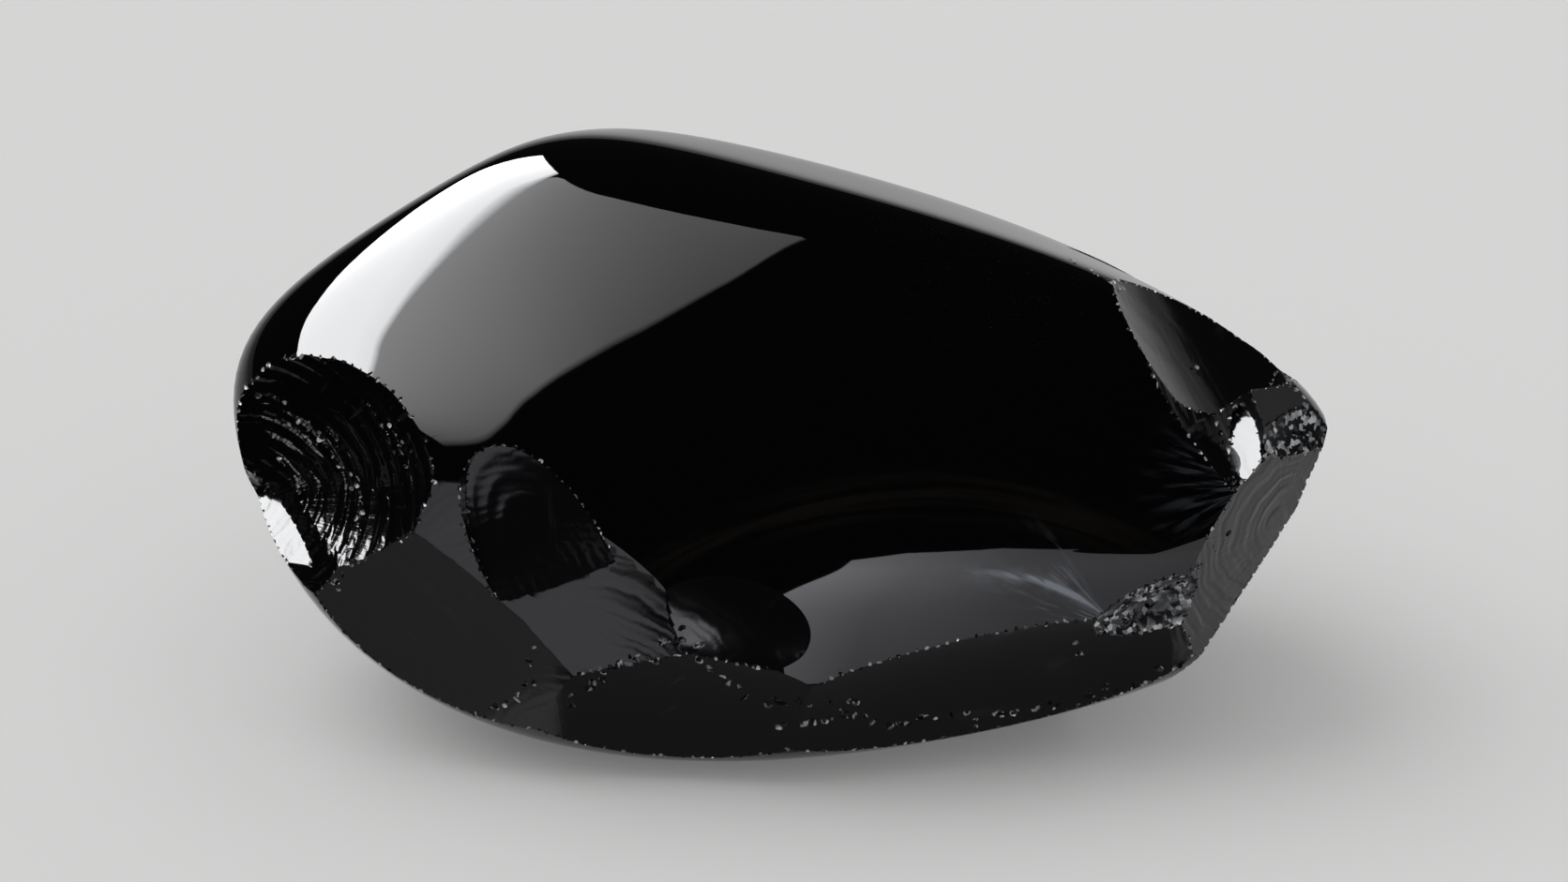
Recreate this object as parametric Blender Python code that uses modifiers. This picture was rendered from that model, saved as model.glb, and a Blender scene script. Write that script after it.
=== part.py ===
"""Obsidian chunk: a worn cobble of volcanic glass with flakes struck off its lower edge and both ends.

The chunk is one solid. It is modelled square on to its broad polished face and then tipped back
to the way it lies: x runs right along the face, u up the face and w out of it. Sizes are in
millimetres and angles in degrees until a mesh is made; the finished object is in metres, +Z up,
with its origin under the middle of its box, on the surface that it rests on.
"""

import math
from typing import NamedTuple

import bmesh
import bpy
import numpy as np
from mathutils import Matrix, Vector

NAME = "obsidian_chunk"
MM = 0.001

# ---- Driving dimensions: the worn cobble ------------------------------------------------------
FACE_TIP = 65.0            # the broad face is tipped up this far from lying flat
SEAT_DROP = 29.0           # from the cobble's middle straight down to the flat that it rests on
BELLY_MIDDLE = (0.0, 3.0, -7.0)      # middle of the rounded belly, in x, u, w
BELLY_HALF = (63.0, 37.5, 19.5)      # its half length, half height and half depth at the front
BELLY_BACK = 30.0          # its half depth at the back
WEAR = 10.0                # how tightly the worn flats turn into each other
SKIN_CUTS = 19             # divisions along each side of the cube that is blown up to the cobble


class Flat(NamedTuple):
    """A side that wear has flattened."""

    clock: float           # which way it faces round the broad face, from +x towards +u
    lean: float            # how far it leans forward of the girdle
    reach: float           # distance from the cobble's middle


WORN_FLATS = (
    Flat(clock=14, lean=0, reach=56),
    Flat(clock=60, lean=5.5, reach=29.7),
    Flat(clock=76, lean=8, reach=24.3),
    Flat(clock=121, lean=2, reach=37),
    Flat(clock=158, lean=0, reach=59.5),
    Flat(clock=188, lean=0, reach=55.5),
    Flat(clock=208, lean=-6, reach=49),
    Flat(clock=241, lean=-9, reach=40),
    Flat(clock=266, lean=-7, reach=33),
    Flat(clock=283, lean=-6, reach=31.5),
    Flat(clock=322, lean=-7, reach=51.5),
    Flat(clock=346, lean=-12, reach=55),
)


# ---- Driving dimensions: the scars that flakes left --------------------------------------------
class Scar(NamedTuple):
    """A hollow with waves round the point where the blow fell."""

    name: str
    spot: tuple            # middle of the hollow's mouth, in x, u, w
    aim: tuple             # clock and lean of the way the mouth faces
    size: tuple            # length and width of the mouth
    turn: float            # of its length, from level
    depth: float           # of the hollow below its mouth
    strike: tuple          # the blow's place, along the length and across it, from the middle
    wave: float = 2.4      # from one wave to the next
    swell: float = 0.12    # height of the waves
    stretch: float = 1.0   # the cutter's width, as a share of its length
    flare: float = 3.0     # how many depths the cutter's floor may rise above the mouth
    reach: float = 1.5     # the cutter's radius, as a share of the way from the blow to the far rim
    lid: float = 16.0      # the cutter's height above the scar's floor


SCARS = (
    Scar("left_shell", (-41.2, -2.2, 5.5), (203, 63), (23, 20.5), 0, 2.2, (-8, -3.5), 2.4, 0.3),
    Scar("left_shell_inner", (-45.0, -3.6, 3.2), (204, 54), (19, 20), 0, 1.3, (-5, 0), 3.0, 0.1),
    Scar("left_window", (-46.1, -9.2, -1.2), (135, 53), (12.4, 12.4), -65, 0.05, (0, 0), 3.0, 0.0,
         stretch=0.34, reach=1.0),
    Scar("lower_left_dish", (-31.3, -15.7, 4.2), (240, 58), (22, 17), -42, 0.5, (-2, -11), 5.0, 0.04),
    Scar("left_panel", (-20.2, -13.9, 7.9), (241, 67), (28, 13), -36, 0.4, (9, -5), 5.0, 0.04),
    Scar("left_swirl", (-26.0, -10.2, 7.3), (236, 73), (13, 13), -62, 0.25, (0, 0), 2.2, 0.04,
         stretch=0.5, reach=1.0),
    Scar("bottom_lens", (-10.1, -24.1, 4.0), (263, 52), (21, 11), 0, 0.6, (0, -6), 5.0, 0.04),
    Scar("black_dish", (-4.5, -18.4, 8.7), (265, 77), (12, 8), -15, 0.4, (-3, -3), 3.0, 0.05),
    Scar("lower_right_scar", (17.0, -22.3, 3.8), (284, 48), (37, 10), 8, 0.6, (12, -4), 6.0, 0.04),
    Scar("crushed_pocket", (32.5, -15.7, 6.0), (300, 60), (13, 5), 25, 1.2, (0, -3), 2.0, 0.2),
    Scar("right_facet", (42.6, -9.0, 3.2), (329, 42), (34, 22), 0, 0.3, (8, -6), 5.0, 0.06),
    Scar("right_back", (41.2, -10.2, -6.0), (326, -20), (36, 26), 0, -0.5, (8, -6), 5.0, 0.06),
    Scar("right_upper_back", (47.4, -1.9, -3.0), (341, -15), (20, 20), 0, -0.2, (2, -2), 5.0, 0.05),
    Scar("right_cliff", (40.7, 8.8, -3.5), (35, 30), (60, 31), -58, 2.2, (-16, -5), 4.0, 0.02, flare=5.0,
         reach=0.49, lid=26.0),
    Scar("right_step", (36.3, 3.5, 7.2), (28, 31), (17, 17), -48, 0.4, (0, 0), 4.0, 0.02, stretch=0.5,
         reach=1.0, lid=12.0),
    Scar("right_brow", (38.2, 12.2, -9.0), (60, 0), (30, 20), 90, -0.4, (0, 0), 4.0, 0.03,
         reach=0.9, lid=6.0),
    Scar("tip_dish", (44.8, 3.4, 4.8), (32, 50), (12, 11), 20, 0.4, (3, 3), 3.0, 0.05),
    Scar("tip_crush", (46.8, -0.5, 3.7), (10, 50), (8, 8), 20, 0.3, (3, 3), 3.0, 0.05),
    Scar("white_facet", (41.9, -0.5, 5.4), (135, 55), (7.2, 7.2), -87, 0.05, (0, 0), 3.0, 0.0,
         stretch=0.4, reach=1.0),
    Scar("white_chip", (-19.6, -26.4, 4.6), (135, 55), (3.4, 3.4), 0, 0.05, (0, 0), 1.7, 0.0,
         stretch=0.8, reach=1.0),
    Scar("back_high_scar", (20.0, 8.0, -32.5), (55, -58), (34, 24), 20, 3.0, (12, 6), 4.5, 0.35),
    Scar("back_left_scar", (-30.0, 3.0, -29.5), (186, -52), (30, 24), 60, 2.6, (-10, -6), 4.2, 0.3),
    Scar("back_low_scar", (2.0, -12.0, -33.5), (265, -66), (30, 16), 0, 2.2, (4, -8), 4.2, 0.2),
    Scar("back_right_scar", (38.0, -9.0, -23.0), (335, -38), (24, 18), 30, 2.4, (8, -5), 4.0, 0.25),
)

SPOKES = 34                # divisions of a cutter round the blow
SAME_POINT = 0.00001       # points of a cutter closer than this are one, in metres
SEAT_BLOCK = 6.0           # side of the block that cuts the seat, as a share of the seat drop

GLASS_BLACK = (0.008, 0.008, 0.009, 1.0)
GLASS_ROUGHNESS = 0.05


# ---- Small helpers -----------------------------------------------------------------------------
def clear_scene():
    """Take away everything that the file already holds."""
    for obj in list(bpy.data.objects):
        bpy.data.objects.remove(obj, do_unlink=True)
    for group in list(bpy.data.collections):
        bpy.data.collections.remove(group)


def new_collection(name):
    """Add an empty collection to the scene."""
    group = bpy.data.collections.new(name)
    bpy.context.scene.collection.children.link(group)
    return group


def facing(clock, lean):
    """Return the unit vector in x, u, w that a clock angle and a lean stand for."""
    turn, rise = math.radians(clock), math.radians(lean)
    return Vector((math.cos(turn) * math.cos(rise), math.sin(turn) * math.cos(rise), math.sin(rise)))


def obsidian():
    """Return the black glass that the whole chunk is made of."""
    material = bpy.data.materials.new("obsidian")
    material.use_nodes = True
    shader = material.node_tree.nodes["Principled BSDF"]
    shader.inputs["Base Color"].default_value = GLASS_BLACK
    shader.inputs["Roughness"].default_value = GLASS_ROUGHNESS
    shader.inputs["Metallic"].default_value = 0.0
    return material


# ---- The cobble --------------------------------------------------------------------------------
def belly_radius(way, half):
    """Return how far the rounded belly reaches along each unit vector from the cobble's middle."""
    step = way / half
    lead = np.array(BELLY_MIDDLE) / half
    square = (step * step).sum(axis=1)
    along = step @ lead
    return (along + np.sqrt(along * along - square * (lead @ lead - 1.0))) / square


def cobble_radius(way):
    """Return the cobble's radius along each unit vector: the belly, rounded off by the worn flats."""
    front = belly_radius(way, np.array(BELLY_HALF))
    back = belly_radius(way, np.array((*BELLY_HALF[:2], BELLY_BACK)))
    belly = np.where(front * way[:, 2] > BELLY_MIDDLE[2], front, back)
    total = belly ** -WEAR
    for flat in WORN_FLATS:
        towards = np.maximum(way @ np.array(facing(flat.clock, flat.lean)), 0.0)
        total += (towards / flat.reach) ** WEAR
    return total ** (-1.0 / WEAR)


def make_cobble(group):
    """Blow a finely divided cube up to the worn cobble."""
    mesh = bpy.data.meshes.new(NAME)
    shape = bmesh.new()
    bmesh.ops.create_cube(shape, size=2.0)
    bmesh.ops.subdivide_edges(shape, edges=shape.edges[:], cuts=SKIN_CUTS, use_grid_fill=True)
    places = np.array([vert.co for vert in shape.verts])
    spread = np.tan(places * math.pi / 4)
    ways = spread / np.linalg.norm(spread, axis=1)[:, None]
    radii = cobble_radius(ways) * MM
    for vert, way, radius in zip(shape.verts, ways, radii):
        vert.co = way * radius
    shape.to_mesh(mesh)
    shape.free()
    cobble = bpy.data.objects.new(NAME, mesh)
    group.objects.link(cobble)
    return cobble


# ---- The cutters -------------------------------------------------------------------------------
def scar_frame(scar):
    """Return the matrix from the scar's own axes (length, width, out of its mouth) to x, u, w."""
    out = facing(*scar.aim)
    level = Vector((1.0, 0.0, 0.0))
    level = (level - out * level.dot(out)).normalized()
    along = Matrix.Rotation(math.radians(scar.turn), 3, out) @ level
    across = out.cross(along)
    frame = Matrix((along, across, out)).transposed().to_4x4()
    frame.translation = Vector(scar.spot) * MM
    return frame


def scar_profile(scar):
    """Return the cutter's half section round the blow: lid, outer side, then the waves inwards."""
    far_side = math.hypot(*scar.strike) + max(scar.size) / 2
    waves = max(round(far_side * scar.reach / scar.wave), 1)
    rim = waves * scar.wave
    points = [(0.0, scar.lid), (rim, scar.lid)]
    for half_wave in range(2 * waves, -1, -1):
        height = scar.swell / 2 if half_wave % 2 else -scar.swell / 2
        points.append((half_wave * scar.wave / 2, height))
    return points


def make_scar_cutter(scar, group):
    """Turn the waves round the blow and bow the disc into the hollow."""
    profile = bpy.data.meshes.new(scar.name)
    points = scar_profile(scar)
    chain = [(i, i + 1) for i in range(len(points) - 1)]
    profile.from_pydata([(rho * MM, 0.0, rise * MM) for rho, rise in points], chain, [])
    cutter = bpy.data.objects.new(scar.name, profile)
    group.objects.link(cutter)
    turned = cutter.modifiers.new("turn", 'SCREW')
    turned.angle = math.tau
    turned.steps = turned.render_steps = SPOKES
    turned.use_merge_vertices = True
    turned.merge_threshold = SAME_POINT
    solid = cutter.evaluated_get(bpy.context.evaluated_depsgraph_get())
    cutter.data = bpy.data.meshes.new_from_object(solid)
    cutter.modifiers.clear()
    half_length, half_width = scar.size[0] / 2 * MM, scar.size[1] / 2 * MM
    for vert in cutter.data.vertices:
        vert.co.x += scar.strike[0] * MM
        vert.co.y = vert.co.y * scar.stretch + scar.strike[1] * MM
        bow = (vert.co.x / half_length) ** 2 + (vert.co.y / half_width) ** 2 - 1.0
        vert.co.z += scar.depth * MM * min(bow, scar.flare)
    cutter.matrix_local = scar_frame(scar)
    cutter.hide_render = True
    cutter.display_type = 'WIRE'
    return cutter


def make_seat_cutter(group):
    """Make the block whose top face is the flat that the chunk rests on."""
    size = SEAT_BLOCK * SEAT_DROP * MM
    bpy.ops.mesh.primitive_cube_add(size=size, location=(0, 0, -size / 2))
    cutter = bpy.context.object
    cutter.name = "seat_cutter"
    for other in cutter.users_collection:
        other.objects.unlink(cutter)
    group.objects.link(cutter)
    cutter.hide_render = True
    cutter.display_type = 'WIRE'
    return cutter


def cut(target, cutter):
    """Take the cutter's shape out of the target with a live Boolean."""
    boolean = target.modifiers.new(cutter.name, 'BOOLEAN')
    boolean.operation = 'DIFFERENCE'
    boolean.solver = 'EXACT'
    boolean.object = cutter


def centre_over_origin(chunk, lie):
    """Shift the chunk level until the middle of its box stands over the origin."""
    bpy.context.view_layer.update()
    solid = chunk.evaluated_get(bpy.context.evaluated_depsgraph_get())
    places = [chunk.matrix_world @ vert.co for vert in solid.data.vertices]
    for axis in (0, 1):
        along = [place[axis] for place in places]
        lie.location[axis] -= (min(along) + max(along)) / 2


def build():
    """Build the chunk and set it down on its flat."""
    clear_scene()
    parts = new_collection(NAME)
    cutters = new_collection("cutters")
    lie = bpy.data.objects.new("lie_of_the_chunk", None)
    parts.objects.link(lie)
    lie.rotation_euler = (math.radians(FACE_TIP), 0.0, 0.0)
    lie.location = (0.0, 0.0, SEAT_DROP * MM)

    cobble = make_cobble(parts)
    cobble.parent = lie
    for scar in SCARS:
        cutter = make_scar_cutter(scar, cutters)
        cutter.parent = lie
        cut(cobble, cutter)
    cut(cobble, make_seat_cutter(cutters))
    centre_over_origin(cobble, lie)
    cobble.data.materials.append(obsidian())
    cobble.data.shade_smooth()


build()
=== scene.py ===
"""Looks of the obsidian chunk: a worn, glass-smooth cobble with flakes struck off it.

The flakes came off the lower edge and both ends, and four larger ones off the back.

The chunk is modelled square on to its broad polished face: x runs right along the face, u up the
face and w out of it, in millimetres. It is then tipped back to the way it lies, in metres, +Z up.
"""

from __future__ import annotations

import logging
import math
from dataclasses import dataclass, field
from enum import Enum

import bmesh
import bpy
import numpy as np
from mathutils import Matrix, Vector

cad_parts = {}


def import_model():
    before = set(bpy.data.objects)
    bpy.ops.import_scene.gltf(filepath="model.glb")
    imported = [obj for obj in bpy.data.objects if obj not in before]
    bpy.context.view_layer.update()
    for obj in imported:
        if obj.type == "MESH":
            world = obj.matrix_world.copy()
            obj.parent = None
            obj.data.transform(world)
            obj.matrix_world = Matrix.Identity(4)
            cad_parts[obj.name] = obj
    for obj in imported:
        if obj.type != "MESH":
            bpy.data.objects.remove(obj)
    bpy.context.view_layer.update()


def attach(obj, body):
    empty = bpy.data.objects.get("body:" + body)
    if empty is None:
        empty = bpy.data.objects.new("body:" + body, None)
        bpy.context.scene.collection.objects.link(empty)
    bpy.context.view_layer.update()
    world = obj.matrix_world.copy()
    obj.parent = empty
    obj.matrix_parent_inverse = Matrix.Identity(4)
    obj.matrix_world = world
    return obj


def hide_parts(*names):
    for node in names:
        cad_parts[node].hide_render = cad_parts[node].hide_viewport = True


log = logging.getLogger("obsidian")

MM = 0.001
GLASS_IOR = 1.5
SAME_POINT = 0.00001
NODE = "obsidian_chunk"
Spot = tuple[float, float, float]


# ---- Where the chunk lies ----------------------------------------------------------------------
@dataclass(frozen=True)
class Lie:
    """How the chunk leans and where its middle is."""

    face_tip: float = 65.0
    seat_drop: float = 29.0
    middle: tuple[float, float] = (0.64, -11.477)

    def matrix(self) -> Matrix:
        """Return the matrix from the chunk's own axes, in metres, to the frame."""
        place = Matrix.Translation(Vector((*self.middle, self.seat_drop)) * MM)
        return place @ Matrix.Rotation(math.radians(self.face_tip), 4, "X")

    def face_normal(self) -> Vector:
        """Return the way the broad face looks."""
        return (self.matrix().to_3x3() @ Vector((0, 0, 1))).normalized()


def facing(clock: float, lean: float) -> Vector:
    """Return the unit vector in x, u, w that a clock angle and a lean stand for.

    Args:
        clock: degrees round the broad face, from +x towards +u.
        lean: degrees forward of the girdle, towards +w.

    Returns:
        The unit vector.
    """
    turn, rise = math.radians(clock), math.radians(lean)
    return Vector((math.cos(turn) * math.cos(rise), math.sin(turn) * math.cos(rise), math.sin(rise)))


# ---- The worn cobble ---------------------------------------------------------------------------
@dataclass(frozen=True)
class WornFlat:
    """A side that wear has flattened."""

    clock: float
    lean: float
    reach: float


@dataclass(frozen=True)
class Cobble:
    """The worn cobble before any flake came off: a rounded belly blended with worn flats."""

    belly_middle: Spot = (0.0, 3.0, -7.0)
    belly_half: Spot = (63.0, 37.5, 19.5)
    belly_back: float = 30.0
    wear: float = 10.0
    divisions: int = 64
    flats: tuple[WornFlat, ...] = (
        WornFlat(14, 0, 56),
        WornFlat(60, 5.5, 29.7),
        WornFlat(76, 8, 24.3),
        WornFlat(121, 2, 37),
        WornFlat(158, 0, 59.5),
        WornFlat(188, 0, 55.5),
        WornFlat(208, -6, 49),
        WornFlat(241, -9, 40),
        WornFlat(266, -7, 33),
        WornFlat(283, -6, 31.5),
        WornFlat(322, -7, 51.5),
        WornFlat(346, -12, 55),
    )

    def belly(self, way: np.ndarray, half: np.ndarray) -> np.ndarray:
        """Return how far the belly reaches along each unit vector.

        Args:
            way: unit vectors from the cobble's middle, one a row.
            half: the belly's half sizes.

        Returns:
            One distance a row, in millimetres.
        """
        step = way / half
        lead = np.array(self.belly_middle) / half
        square = (step * step).sum(axis=1)
        along = step @ lead
        return (along + np.sqrt(along * along - square * (lead @ lead - 1.0))) / square

    def radius(self, way: np.ndarray) -> np.ndarray:
        """Return the cobble's radius along each unit vector.

        Args:
            way: unit vectors from the cobble's middle, one a row.

        Returns:
            One radius a row, in millimetres.
        """
        front = self.belly(way, np.array(self.belly_half))
        back = self.belly(way, np.array((*self.belly_half[:2], self.belly_back)))
        total = np.where(front * way[:, 2] > self.belly_middle[2], front, back) ** -self.wear
        for flat in self.flats:
            towards = np.maximum(way @ np.array(facing(flat.clock, flat.lean)), 0.0)
            total += (towards / flat.reach) ** self.wear
        return total ** (-1.0 / self.wear)

    def normals(self, places: np.ndarray) -> np.ndarray:
        """Return the skin's outward unit normals.

        Args:
            places: points on the skin, in millimetres, one a row.

        Returns:
            One unit vector a row.
        """
        nudge = 0.01
        slope = np.zeros_like(places)
        for axis in range(3):
            for side in (1.0, -1.0):
                moved = places.copy()
                moved[:, axis] += side * nudge
                length = np.linalg.norm(moved, axis=1)
                slope[:, axis] += side * length / self.radius(moved / length[:, None])
        return slope / np.linalg.norm(slope, axis=1)[:, None]

    def build(self) -> bpy.types.Object:
        """Blow a finely divided cube up to the cobble and return it.

        Returns:
            The cobble, in its own axes.
        """
        mesh = bpy.data.meshes.new("cobble")
        shape = bmesh.new()
        bmesh.ops.create_cube(shape, size=2.0)
        bmesh.ops.subdivide_edges(shape, edges=shape.edges[:], cuts=self.divisions - 1, use_grid_fill=True)
        spread = np.tan(np.array([vert.co for vert in shape.verts]) * math.pi / 4)
        ways = spread / np.linalg.norm(spread, axis=1)[:, None]
        for vert, way, radius in zip(shape.verts, ways, self.radius(ways) * MM):
            vert.co = way * radius
        shape.to_mesh(mesh)
        shape.free()
        return new_object("cobble", mesh)


def grid_faces(rows: int, columns: int) -> list[tuple[int, int, int, int]]:
    """Return the faces of a grid of points that are counted row by row.

    Args:
        rows: how many rows the grid has.
        columns: how many points a row has.

    Returns:
        Four point numbers a face.
    """
    return [(row * columns + k, row * columns + k + 1, (row + 1) * columns + k + 1, (row + 1) * columns + k)
            for row in range(rows - 1) for k in range(columns - 1)]


def new_object(name: str, mesh: bpy.types.Mesh) -> bpy.types.Object:
    """Put a mesh in the scene.

    Args:
        name: the name of its object.
        mesh: the mesh.

    Returns:
        The object.
    """
    piece = bpy.data.objects.new(name, mesh)
    bpy.context.scene.collection.objects.link(piece)
    return piece


# ---- Shader maths ------------------------------------------------------------------------------
class Socket:
    """A shader output that plain arithmetic can be written with."""

    def __init__(self, tree: bpy.types.NodeTree, output: bpy.types.NodeSocket) -> None:
        """Wrap an output of a tree."""
        self.tree = tree
        self.output = output

    def _math(self, operation: str, *values: object) -> Socket:
        """Add a Math node on some values and wrap its output."""
        return Painter(self.tree).node("ShaderNodeMath", {"operation": operation}, dict(enumerate(values)))

    def __add__(self, other: object) -> Socket:
        """Add."""
        return self._math("ADD", self, other)

    __radd__ = __add__

    def __sub__(self, other: object) -> Socket:
        """Take away."""
        return self._math("SUBTRACT", self, other)

    def __rsub__(self, other: object) -> Socket:
        """Take this from a value."""
        return self._math("SUBTRACT", other, self)

    def __mul__(self, other: object) -> Socket:
        """Multiply."""
        return self._math("MULTIPLY", self, other)

    __rmul__ = __mul__

    def __pow__(self, other: object) -> Socket:
        """Raise to a power."""
        return self._math("POWER", self, other)

    def sine(self) -> Socket:
        """Return the sine."""
        return self._math("SINE", self)

    def size(self) -> Socket:
        """Return this without its sign."""
        return self._math("ABSOLUTE", self)

    def turn_from(self, level: Socket) -> Socket:
        """Return the angle whose rise is this and whose run is a level, in radians."""
        return self._math("ARCTAN2", self, level)

    def rise(self, low: float, high: float) -> Socket:
        """Return 0 below low, 1 above high and a soft step between them; high may be the smaller.

        Args:
            low: where the step starts.
            high: where it ends.

        Returns:
            The step.
        """
        if high < low:
            return 1.0 - self.rise(high, low)
        return Painter(self.tree).node("ShaderNodeMapRange", {"interpolation_type": "SMOOTHSTEP"},
                                       {"Value": self, "From Min": low, "From Max": high})


class Painter:
    """Adds nodes to a tree."""

    @staticmethod
    def glow(name: str, tint: tuple[float, float, float]) -> bpy.types.Material:
        """Return a material that shines as strongly as its mesh's glow attribute says.

        Args:
            name: the material's name.
            tint: the light's colour.

        Returns:
            The material.
        """
        material = bpy.data.materials.new(name)
        material.use_nodes = True
        material.node_tree.nodes.clear()
        paint = Painter(material.node_tree)
        strength = paint.node("ShaderNodeAttribute", {"attribute_name": "glow"}, {}, out=2)
        light = paint.node("ShaderNodeEmission", {}, {"Color": (*tint, 1.0), "Strength": strength})
        paint.node("ShaderNodeOutputMaterial", {}, {"Surface": light})
        return material

    def __init__(self, tree: bpy.types.NodeTree) -> None:
        """Keep the tree."""
        self.tree = tree

    def node(self, kind: str, settings: dict[str, object], sockets: dict[object, object],
             out: int | tuple[int, ...] = 0) -> Socket | list[Socket]:
        """Add a node.

        Args:
            kind: the node's type.
            settings: its properties, which are set first.
            sockets: values or links of its inputs, by name or number.
            out: the number of the output to wrap, or several.

        Returns:
            The wrapped output, or a list of them.
        """
        made = self.tree.nodes.new(kind)
        for name, value in settings.items():
            setattr(made, name, value)
        for name, value in sockets.items():
            if isinstance(value, Socket):
                self.tree.links.new(value.output, made.inputs[name])
            else:
                made.inputs[name].default_value = value
        if isinstance(out, tuple):
            return [Socket(self.tree, made.outputs[number]) for number in out]
        return Socket(self.tree, made.outputs[out]) if made.outputs else None

    def place(self) -> Socket:
        """Return the place on the chunk in its own axes, in millimetres.

        Returns:
            The place, as a vector of x, u and w.
        """
        lie = Lie()
        spot = self.node("ShaderNodeTexCoord", {}, {}, out=3)
        return self.node("ShaderNodeMapping", {"vector_type": "TEXTURE"}, {
            "Vector": spot, "Location": lie.matrix().translation,
            "Rotation": (math.radians(lie.face_tip), 0.0, 0.0), "Scale": (MM, MM, MM)})

    def split(self, vector: Socket) -> list[Socket]:
        """Return a vector's three parts."""
        return self.node("ShaderNodeSeparateXYZ", {}, {0: vector}, out=(0, 1, 2))

    def join(self, x: object, y: object, z: object) -> Socket:
        """Return the vector of three parts."""
        return self.node("ShaderNodeCombineXYZ", {}, {0: x, 1: y, 2: z})

    def noise(self, vector: Socket, scale: float, detail: float = 3.0) -> Socket:
        """Return noise from 0 to 1 over a vector.

        Args:
            vector: the place.
            scale: features to a unit of the place.
            detail: octaves.

        Returns:
            The noise.
        """
        return self.node("ShaderNodeTexNoise", {}, {"Vector": vector, "Scale": scale, "Detail": detail})

    def blend(self, share: Socket, low: object, high: object) -> Socket:
        """Return the colour a share of the way from one to another.

        Args:
            share: how far, from 0 to 1.
            low: the colour at 0.
            high: the colour at 1.

        Returns:
            The mixed colour.
        """
        sockets = {0: share}
        for number, colour in ((6, low), (7, high)):
            sockets[number] = colour if isinstance(colour, Socket) else (*colour, 1.0)
        return self.node("ShaderNodeMix", {"data_type": "RGBA"}, sockets, out=2)

    def streaks(self, x: Socket, u: Socket, heart: tuple[float, float], fineness: float) -> list[Socket]:
        """Return streaks that run out from a heart on the face, and the turn and distance from it.

        Args:
            x: the place along the face.
            u: the place up the face.
            heart: where the streaks start.
            fineness: streaks to a radian, about.

        Returns:
            The streaks from 0 to 1, the turn in radians and the distance.
        """
        along, up = x - heart[0], u - heart[1]
        turn = up.turn_from(along * -1.0)
        away = (along * along + up * up) ** 0.5
        lines = self.noise(self.join(turn * fineness, away * 0.22, 0.0), 1.0, 4.0)
        return [lines, turn, away]


# ---- Finishes ----------------------------------------------------------------------------------
Colour = tuple[float, float, float]


@dataclass(frozen=True)
class Finish:
    """A glass surface."""

    name: str
    colour: Colour
    roughness: float

    def build(self) -> bpy.types.Material:
        """Return the finish as a material.

        Returns:
            The material.
        """
        material = bpy.data.materials.new(self.name)
        material.use_nodes = True
        shader = material.node_tree.nodes["Principled BSDF"]
        shader.inputs["Base Color"].default_value = (*self.colour, 1.0)
        shader.inputs["Roughness"].default_value = self.roughness
        shader.inputs["IOR"].default_value = GLASS_IOR
        self.paint(Painter(material.node_tree), shader)
        return material

    def paint(self, paint: Painter, shader: bpy.types.ShaderNode) -> None:
        """Vary the finish over the chunk.

        Args:
            paint: adds nodes to the material.
            shader: the material's shader.
        """


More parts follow.
